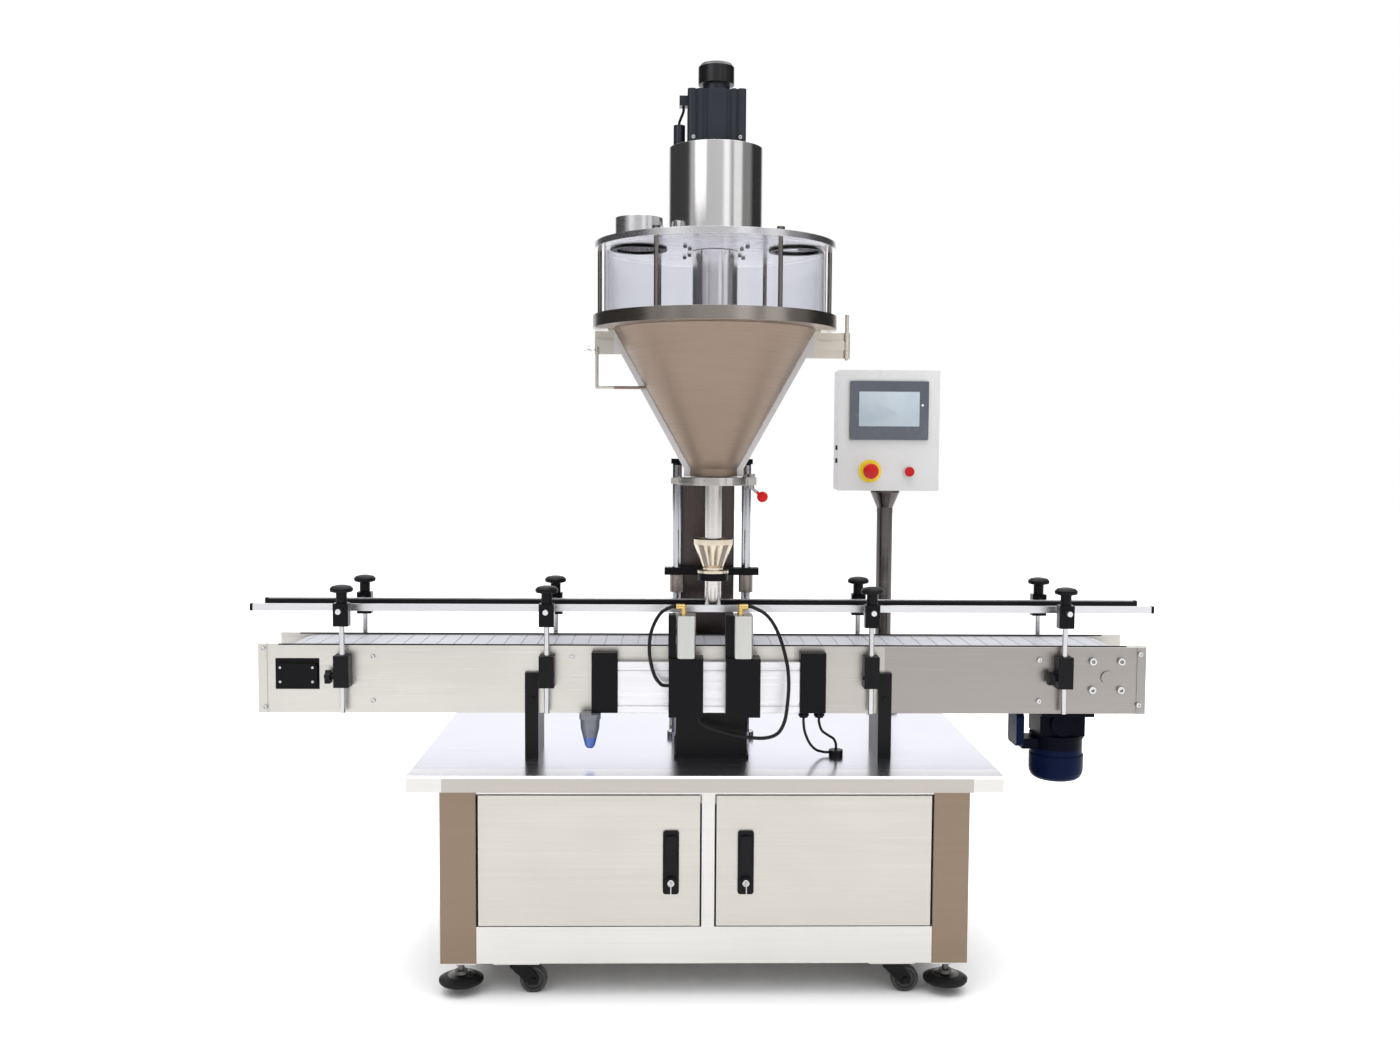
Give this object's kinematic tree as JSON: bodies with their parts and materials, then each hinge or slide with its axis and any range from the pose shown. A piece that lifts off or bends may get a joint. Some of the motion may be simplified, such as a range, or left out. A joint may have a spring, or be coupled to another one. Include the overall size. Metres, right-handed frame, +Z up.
{
  "type": "powder filling machine",
  "caption": "Auger powder filler with a split steel hopper, servo drive and touch panel over a slat conveyor with guide rails and bottle stops, on a cabinet table with casters.",
  "frame": {"origin": "bottom centre of the whole machine, on the floor", "axes": "+X along the conveyor to the outfeed end, +Y to the back, +Z up"},
  "size_m": [2.052, 0.774, 2.068],
  "materials": {
    "stainless": "brushed",
    "cabinet_sheet": "brushed sheet",
    "table_sheet": "brushed sheet",
    "chrome": "polished",
    "dark_steel": "brushed, in shade",
    "zinc": "zinc plated",
    "aluminium": "anodised",
    "black_plastic": "moulded",
    "black_metal": "powder coated",
    "motor_blue": "painted",
    "servo_grey": "painted",
    "belt_grey": "moulded",
    "wheel_grey": "moulded",
    "clear_acrylic": "clear",
    "bowl": "smoked",
    "box_paint": "powder coated",
    "screen_bezel": "moulded",
    "button_red": "gloss",
    "hose_black": "smooth"
  },
  "bodies": {
    "base": {"cabinet_frame": "cabinet_sheet", "cabinet_panels": "cabinet_sheet", "table_top": "table_sheet", "levelling_feet": "zinc", "side_plates": "stainless", "cross_members": "zinc", "slat_belt": "belt_grey", "gearbox": "motor_blue", "conveyor_motor": "motor_blue", "conveyor_legs": "black_metal", "post_brackets": "black_plastic", "stopper_beam": "aluminium", "stop_cylinders": "aluminium", "air_filter": "bowl", "box_column": "dark_steel", "guide_columns": "chrome", "head_bracket": "stainless", "rear_hopper": "stainless", "hopper_ring": "stainless", "sight_cylinder": "clear_acrylic", "tie_rods": "stainless", "hopper_lid": "stainless", "motor_housing": "stainless", "servo_motor": "servo_grey", "feed_tube": "stainless", "control_post": "dark_steel", "air_hoses": "hose_black"},
    "left_door": {"left_door": "cabinet_sheet"},
    "right_door": {"right_door": "cabinet_sheet"},
    "left_handle": {"left_handle": "black_plastic"},
    "right_handle": {"right_handle": "black_plastic"},
    "caster_fork_front_left": {"caster_fork_front_left": "zinc"},
    "caster_wheel_front_left": {"caster_wheel_front_left": "wheel_grey"},
    "caster_fork_front_right": {"caster_fork_front_right": "zinc"},
    "caster_wheel_front_right": {"caster_wheel_front_right": "wheel_grey"},
    "caster_fork_rear_left": {"caster_fork_rear_left": "zinc"},
    "caster_wheel_rear_left": {"caster_wheel_rear_left": "wheel_grey"},
    "caster_fork_rear_right": {"caster_fork_rear_right": "zinc"},
    "caster_wheel_rear_right": {"caster_wheel_rear_right": "wheel_grey"},
    "drive_roller": {"drive_roller": "aluminium"},
    "idler_roller": {"idler_roller": "aluminium"},
    "front_posts": {"front_posts": "stainless", "front_knobs": "black_plastic"},
    "front_rail": {"front_rail": "aluminium"},
    "rear_posts": {"rear_posts": "stainless", "rear_knobs": "black_plastic"},
    "rear_rail": {"rear_rail": "aluminium"},
    "left_stop_rod": {"left_stop_rod": "stainless"},
    "right_stop_rod": {"right_stop_rod": "stainless"},
    "clamp_lever": {"clamp_lever": "stainless"},
    "front_hopper": {"front_hopper": "stainless"},
    "latch_screw": {"latch_screw": "stainless"},
    "auger": {"auger": "stainless"},
    "agitator": {"agitator": "stainless"},
    "crossbar": {"crossbar": "black_metal", "funnel": "stainless"},
    "control_box": {"control_box": "box_paint", "touch_screen": "screen_bezel"},
    "estop_button": {"estop_button": "button_red"},
    "push_button": {"push_button": "button_red"}
  },
  "joints": [
    {"name": "left_door_hinge", "type": "hinge", "parent": "base", "child": "left_door", "pos_m": [-0.476, -0.322, 0.3], "axis": [0, 0, -1], "range_deg": [0, 110]},
    {"name": "right_door_hinge", "type": "hinge", "parent": "base", "child": "right_door", "pos_m": [0.476, -0.322, 0.3], "axis": [0, 0, 1], "range_deg": [0, 110]},
    {"name": "left_handle_pull", "type": "hinge", "parent": "left_door", "child": "left_handle", "pos_m": [-0.075, -0.3323, 0.374], "axis": [-1, 0, 0], "range_deg": [0, 35]},
    {"name": "right_handle_pull", "type": "hinge", "parent": "right_door", "child": "right_handle", "pos_m": [0.088, -0.3323, 0.374], "axis": [-1, 0, 0], "range_deg": [0, 35]},
    {"name": "caster_swivel_front_left", "type": "hinge", "parent": "base", "child": "caster_fork_front_left", "pos_m": [-0.412, -0.292, 0.06], "axis": [0, 0, 1], "continuous": true},
    {"name": "caster_roll_front_left", "type": "hinge", "parent": "caster_fork_front_left", "child": "caster_wheel_front_left", "pos_m": [-0.378, -0.292, 0.03], "axis": [0, 1, 0], "continuous": true},
    {"name": "caster_swivel_front_right", "type": "hinge", "parent": "base", "child": "caster_fork_front_right", "pos_m": [0.412, -0.292, 0.06], "axis": [0, 0, 1], "continuous": true},
    {"name": "caster_roll_front_right", "type": "hinge", "parent": "caster_fork_front_right", "child": "caster_wheel_front_right", "pos_m": [0.446, -0.292, 0.03], "axis": [0, 1, 0], "continuous": true},
    {"name": "caster_swivel_rear_left", "type": "hinge", "parent": "base", "child": "caster_fork_rear_left", "pos_m": [-0.412, 0.292, 0.06], "axis": [0, 0, 1], "continuous": true},
    {"name": "caster_roll_rear_left", "type": "hinge", "parent": "caster_fork_rear_left", "child": "caster_wheel_rear_left", "pos_m": [-0.378, 0.292, 0.03], "axis": [0, 1, 0], "continuous": true},
    {"name": "caster_swivel_rear_right", "type": "hinge", "parent": "base", "child": "caster_fork_rear_right", "pos_m": [0.412, 0.292, 0.06], "axis": [0, 0, 1], "continuous": true},
    {"name": "caster_roll_rear_right", "type": "hinge", "parent": "caster_fork_rear_right", "child": "caster_wheel_rear_right", "pos_m": [0.446, 0.292, 0.03], "axis": [0, 1, 0], "continuous": true},
    {"name": "drive_roller_turn", "type": "hinge", "parent": "base", "child": "drive_roller", "pos_m": [0.913, -0.122, 0.69], "axis": [0, 1, 0], "continuous": true},
    {"name": "idler_roller_turn", "type": "hinge", "parent": "base", "child": "idler_roller", "pos_m": [-0.913, -0.122, 0.69], "axis": [0, 1, 0], "continuous": true},
    {"name": "front_rail_lift", "type": "slide", "parent": "base", "child": "front_posts", "axis": [0, 0, 1], "range_m": [-0.008, 0.02]},
    {"name": "front_rail_shift", "type": "slide", "parent": "front_posts", "child": "front_rail", "axis": [0, 1, 0], "range_m": [-0.025, 0.025]},
    {"name": "rear_rail_lift", "type": "slide", "parent": "base", "child": "rear_posts", "axis": [0, 0, 1], "range_m": [-0.008, 0.02]},
    {"name": "rear_rail_shift", "type": "slide", "parent": "rear_posts", "child": "rear_rail", "axis": [0, -1, 0], "range_m": [-0.025, 0.025]},
    {"name": "left_stop_stroke", "type": "slide", "parent": "base", "child": "left_stop_rod", "axis": [0, 1, 0], "range_m": [0, 0.045]},
    {"name": "right_stop_stroke", "type": "slide", "parent": "base", "child": "right_stop_rod", "axis": [0, 1, 0], "range_m": [0, 0.045]},
    {"name": "clamp_lever_turn", "type": "hinge", "parent": "base", "child": "clamp_lever", "pos_m": [0.105, -0.122, 1.12], "axis": [0, 0, -1], "range_deg": [0, 120]},
    {"name": "front_hopper_hinge", "type": "hinge", "parent": "base", "child": "front_hopper", "pos_m": [0.322, -0.122, 1.44], "axis": [0, 0, 1], "range_deg": [0, 95]},
    {"name": "latch_screw_turn", "type": "hinge", "parent": "front_hopper", "child": "latch_screw", "pos_m": [-0.263, -0.122, 1.4257], "axis": [1, 0, 0], "continuous": true},
    {"name": "auger_turn", "type": "hinge", "parent": "base", "child": "auger", "pos_m": [0.019, -0.122, 1.2], "axis": [0, 0, 1], "continuous": true},
    {"name": "agitator_turn", "type": "hinge", "parent": "base", "child": "agitator", "pos_m": [0.019, -0.122, 1.5], "axis": [0, 0, 1], "continuous": true},
    {"name": "crossbar_slide", "type": "slide", "parent": "base", "child": "crossbar", "axis": [0, 0, 1], "range_m": [-0.02, 0.09]},
    {"name": "control_box_swivel", "type": "hinge", "parent": "base", "child": "control_box", "pos_m": [0.488, 0.325, 1.094], "axis": [0, 0, 1], "range_deg": [-45, 45]},
    {"name": "estop_press", "type": "slide", "parent": "control_box", "child": "estop_button", "axis": [0, 1, 0], "range_m": [0, 0.005], "stiffness_N_per_m": 500},
    {"name": "push_button_press", "type": "slide", "parent": "control_box", "child": "push_button", "axis": [0, 1, 0], "range_m": [0, 0.004], "stiffness_N_per_m": 500}
  ],
  "couplings": [
    {"joint": "idler_roller_turn", "follows": "drive_roller_turn", "ratio": 1}
  ]
}
